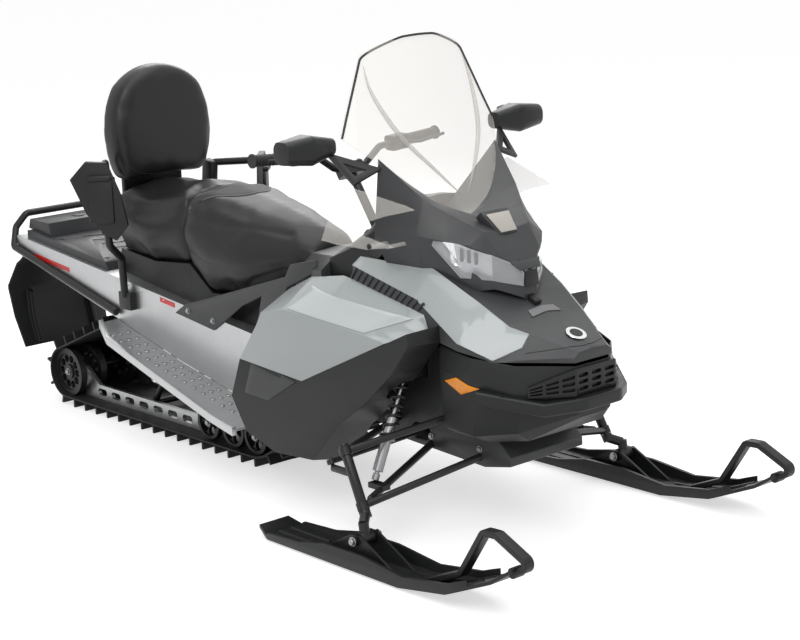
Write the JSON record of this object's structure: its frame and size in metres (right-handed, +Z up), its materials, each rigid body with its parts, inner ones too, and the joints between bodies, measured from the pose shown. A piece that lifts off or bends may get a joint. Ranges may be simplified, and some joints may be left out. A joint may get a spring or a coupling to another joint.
{
  "type": "two-seat touring snowmobile",
  "caption": "Two-seat touring snowmobile with a lugged track, skis steered by a raised handlebar, a tall clear windshield, side mirrors, a passenger backrest and hand guards.",
  "frame": {"origin": "on the ground, in the middle of the length and width", "axes": "+X points forwards, +Y to the rider's left, +Z up"},
  "size_m": [3.1084, 1.225, 1.44],
  "materials": {
    "black_plastic": "satin",
    "dark_plastic": "satin",
    "silver_plastic": "gloss",
    "black_steel": "satin",
    "bright_aluminium": "satin",
    "grey_steel": "satin",
    "track_rubber": "matt",
    "soft_grip": "matt",
    "black_vinyl": "satin",
    "clear_screen": "gloss",
    "lamp_glass": "gloss",
    "engine_metal": "matt"
  },
  "bodies": {
    "chassis": {"track": "track_rubber", "rear_idlers": "black_plastic", "rail_wheels": "black_plastic", "slide_rails": "bright_aluminium", "tunnel": "bright_aluminium", "running_boards": "bright_aluminium", "skid_arms": "black_steel", "shocks": "black_steel", "drive_shaft": "black_plastic", "snow_flap": "black_plastic", "rear_bumper": "black_steel", "rack": "dark_plastic", "rear_box": "dark_plastic", "seat_base": "black_plastic", "rider_seat": "black_vinyl", "passenger_seat": "black_vinyl", "backrest": "black_vinyl", "backrest_frame": "black_plastic", "engine_block": "engine_metal", "subframe": "dark_plastic", "side_panels": "silver_plastic", "lower_panels": "black_plastic", "tank_cover": "dark_plastic", "hood": "dark_plastic", "hood_strips": "silver_plastic", "belly_pan": "black_plastic", "headlights": "lamp_glass", "upper_fairing": "dark_plastic", "console": "black_plastic", "windshield": "clear_screen", "side_deflectors": "clear_screen", "mirrors": "black_plastic", "grille": "black_plastic", "front_bumper": "black_plastic", "front_arms": "black_steel", "handholds": "black_plastic", "side_trims": "dark_plastic"},
    "steering": {"handlebar": "black_steel", "controls": "soft_grip"},
    "right_spindle": {"spindle_right": "black_steel"},
    "left_spindle": {"spindle_left": "black_steel"},
    "right_tie_rod": {"tie_rod_right": "black_steel"},
    "left_tie_rod": {"tie_rod_left": "black_steel"},
    "right_ski": {"ski_right": "black_plastic"},
    "left_ski": {"ski_left": "black_plastic"}
  },
  "joints": [
    {"name": "handlebar_turn", "type": "hinge", "parent": "chassis", "child": "steering", "pos_m": [0.258, 0, 1], "axis": [-0.5547, 0, 0.8321], "range_deg": [-32, 32]},
    {"name": "right_spindle_turn", "type": "hinge", "parent": "chassis", "child": "right_spindle", "pos_m": [0.85, -0.505, 0.155], "axis": [-0.459, 0.0428, 0.8874], "range_deg": [-29, 29]},
    {"name": "right_tie_rod_swing", "type": "hinge", "parent": "right_spindle", "child": "right_tie_rod", "pos_m": [0.71228, -0.50008, 0.25686], "axis": [-0.459, 0.0428, 0.8874], "range_deg": [-29, 29]},
    {"name": "right_ski_pitch", "type": "hinge", "parent": "right_spindle", "child": "right_ski", "pos_m": [0.897, -0.54, 0.08], "axis": [0, 1, 0], "range_deg": [-18, 8], "stiffness_Nm_per_rad": 60},
    {"name": "left_spindle_turn", "type": "hinge", "parent": "chassis", "child": "left_spindle", "pos_m": [0.85, 0.505, 0.155], "axis": [-0.459, -0.0428, 0.8874], "range_deg": [-29, 29]},
    {"name": "left_tie_rod_swing", "type": "hinge", "parent": "left_spindle", "child": "left_tie_rod", "pos_m": [0.71228, 0.50008, 0.25686], "axis": [-0.459, -0.0428, 0.8874], "range_deg": [-29, 29]},
    {"name": "left_ski_pitch", "type": "hinge", "parent": "left_spindle", "child": "left_ski", "pos_m": [0.897, 0.54, 0.08], "axis": [0, 1, 0], "range_deg": [-18, 8], "stiffness_Nm_per_rad": 60}
  ],
  "couplings": [
    {"joint": "right_spindle_turn", "follows": "handlebar_turn", "ratio": 0.9},
    {"joint": "right_tie_rod_swing", "follows": "handlebar_turn", "ratio": -0.9},
    {"joint": "left_spindle_turn", "follows": "handlebar_turn", "ratio": 0.9},
    {"joint": "left_tie_rod_swing", "follows": "handlebar_turn", "ratio": -0.9}
  ]
}
